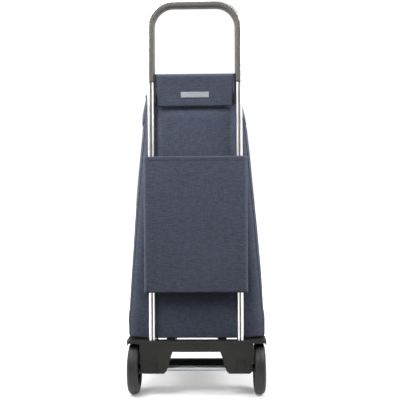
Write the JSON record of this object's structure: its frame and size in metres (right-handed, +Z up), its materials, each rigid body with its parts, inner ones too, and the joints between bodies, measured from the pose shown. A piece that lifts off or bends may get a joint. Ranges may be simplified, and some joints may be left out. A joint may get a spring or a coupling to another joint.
{
  "type": "shopping trolley on wheels",
  "caption": "Folding two-wheeled shopping trolley: fabric bag with a flap lid, hung on a bent tube handle frame with a moulded base.",
  "frame": {"origin": "on the ground under the middle of the trolley's outline, side to side and front to back", "axes": "+X to the user's right across the wheels, +Y away from the user who holds the handle, towards the front foot, +Z up"},
  "size_m": [0.358, 0.328, 1.012],
  "materials": {
    "fabric": "woven melange",
    "frame": "satin",
    "grip": "satin",
    "plastic": "matt",
    "tyre": "matt",
    "zinc": "satin",
    "rod": "satin",
    "webbing": "woven",
    "label": "woven"
  },
  "bodies": {
    "frame": {"frame_tube": "frame", "handle_grip": "grip", "chassis": "plastic", "axle": "zinc", "hanger_crossbar": "zinc", "bag_back": "fabric", "bag_front": "fabric", "bag_bottom": "fabric", "bag_band": "fabric", "band_label": "label", "sleeve_panel": "fabric", "flap_strip_loop": "webbing", "axle_cap_left": "plastic", "axle_cap_right": "plastic", "axle_spacer_left": "plastic", "axle_spacer_right": "plastic", "tube_screw_left": "zinc", "tube_screw_right": "zinc", "hanger_clip_left": "plastic", "hanger_clip_right": "plastic", "bag_side_left": "fabric", "bag_side_right": "fabric", "sleeve_side_left": "fabric", "sleeve_side_right": "fabric"},
    "platform": {"platform_rod": "rod", "foot_skid": "plastic", "platform_plate": "plastic", "plate_clip_left": "plastic", "plate_clip_right": "plastic", "pivot_clip_left": "zinc", "pivot_clip_right": "zinc"},
    "lid": {"lid_panel": "fabric", "lid_flap": "fabric", "flap_strip_hook": "webbing", "lid_pull_tab": "webbing", "lid_side_left": "fabric", "lid_side_right": "fabric"},
    "left_wheel": {"tyre_left": "tyre", "wheel_centre_left": "plastic", "hub_bush_left": "plastic"},
    "right_wheel": {"tyre_right": "tyre", "wheel_centre_right": "plastic", "hub_bush_right": "plastic"}
  },
  "joints": [
    {"name": "left_wheel_spin", "type": "hinge", "parent": "frame", "child": "left_wheel", "pos_m": [-0.16175, -0.098, 0.066], "axis": [1, 0, 0], "continuous": true},
    {"name": "right_wheel_spin", "type": "hinge", "parent": "frame", "child": "right_wheel", "pos_m": [0.16175, -0.098, 0.066], "axis": [1, 0, 0], "continuous": true},
    {"name": "platform_fold", "type": "hinge", "parent": "frame", "child": "platform", "pos_m": [0, -0.05, 0.139], "axis": [1, 0, 0], "range_deg": [0, 90], "deforming": ["bag_back", "bag_front", "bag_bottom", "flap_strip_loop", "bag_side_left", "bag_side_right"]},
    {"name": "lid_open", "type": "hinge", "parent": "frame", "child": "lid", "pos_m": [0, -0.096, 0.777], "axis": [1, 0, 0], "range_deg": [0, 65]}
  ]
}
